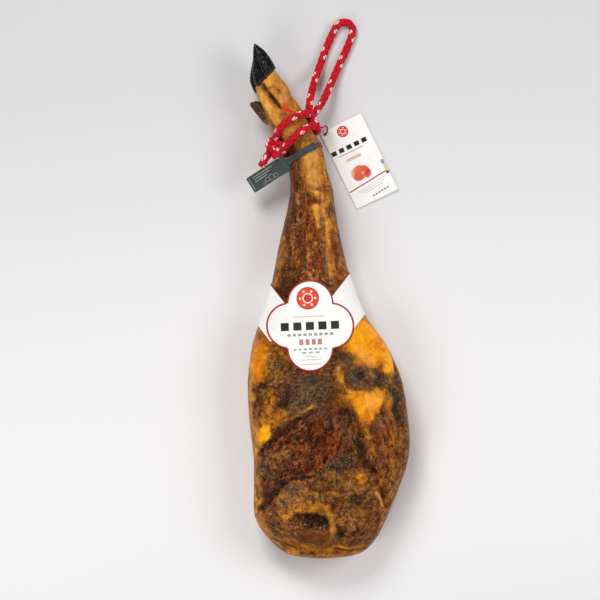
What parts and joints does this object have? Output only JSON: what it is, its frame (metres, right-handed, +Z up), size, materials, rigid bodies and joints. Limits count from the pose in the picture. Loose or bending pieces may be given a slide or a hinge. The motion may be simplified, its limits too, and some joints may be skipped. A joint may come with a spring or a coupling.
{
  "type": "cured ham",
  "caption": "Whole dry-cured ham on the bone with its foot on, lying cut face up, with a hanging rope, a plastic seal, a folded swing card and a paper collar.",
  "frame": {"origin": "on the resting surface, in the middle of the box round everything but the free cords", "axes": "+X across the leg, +Y along the leg towards the foot, +Z up, out of the cut face"},
  "size_m": [0.2624, 0.8686, 0.1121],
  "materials": {
    "cured_meat": "dry rind, amber fat and dark cured meat, satin",
    "claw_horn": "black horn, dull gloss",
    "dewclaw_horn": "brown horn, dull",
    "red_rope": "braided red rope with white flecks",
    "red_cord": "thin twisted dark red cord",
    "seal_plastic": "moulded dark green-grey plastic, fine texture",
    "card_paper": "white coated card with plain printed marks",
    "collar_paper": "white coated paper with a red edge line"
  },
  "bodies": {
    "root": {"ham": "cured_meat", "near_claw": "claw_horn", "far_claw": "claw_horn", "rear_dewclaw": "dewclaw_horn", "rope_knot": "red_rope", "rope_turn_upper": "red_rope", "rope_turn_lower": "red_rope", "rope_loop": "red_rope", "card_cord": "red_cord", "seal_tag": "seal_plastic", "seal_strap": "seal_plastic", "swing_card": "card_paper", "neck_collar": "collar_paper"}
  },
  "joints": []
}
